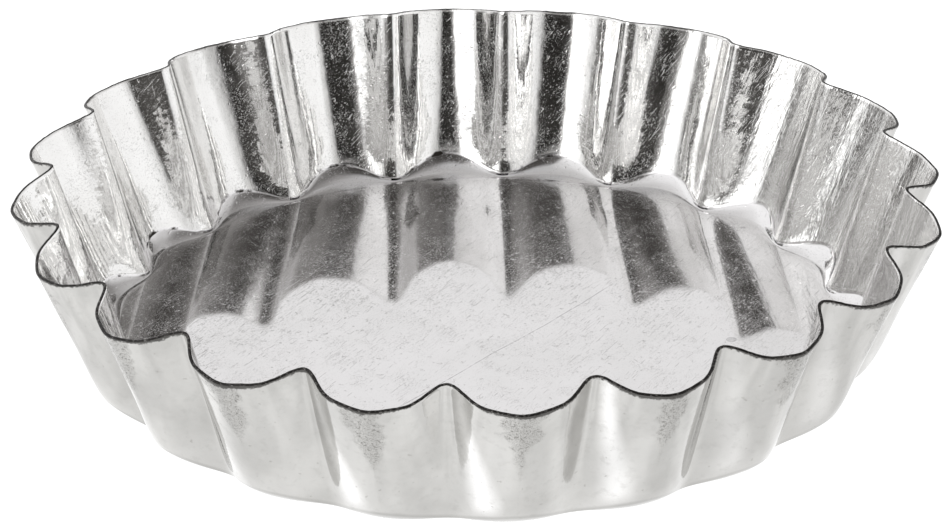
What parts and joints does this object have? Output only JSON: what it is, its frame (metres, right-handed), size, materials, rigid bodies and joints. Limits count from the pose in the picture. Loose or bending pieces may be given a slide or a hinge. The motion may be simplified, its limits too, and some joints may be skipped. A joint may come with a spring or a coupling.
{
  "type": "fluted tartlet pan",
  "caption": "Round one-piece pressed tinplate tartlet pan with a flared fluted wall, a flat base and a plain cut rim.",
  "frame": {"origin": "centre of the underside of the flat base, which is what the pan stands on", "axes": "+Z is the pan's axis, up out of the open mouth; +X runs through the middle of one outward flute"},
  "size_m": [0.1, 0.1, 0.019],
  "materials": {
    "tinplate": "bright tinned steel sheet, pressed, with fine scratches, dull streaks and a dark cut edge"
  },
  "bodies": {
    "root": {"pan_shell": "tinplate"}
  },
  "joints": []
}
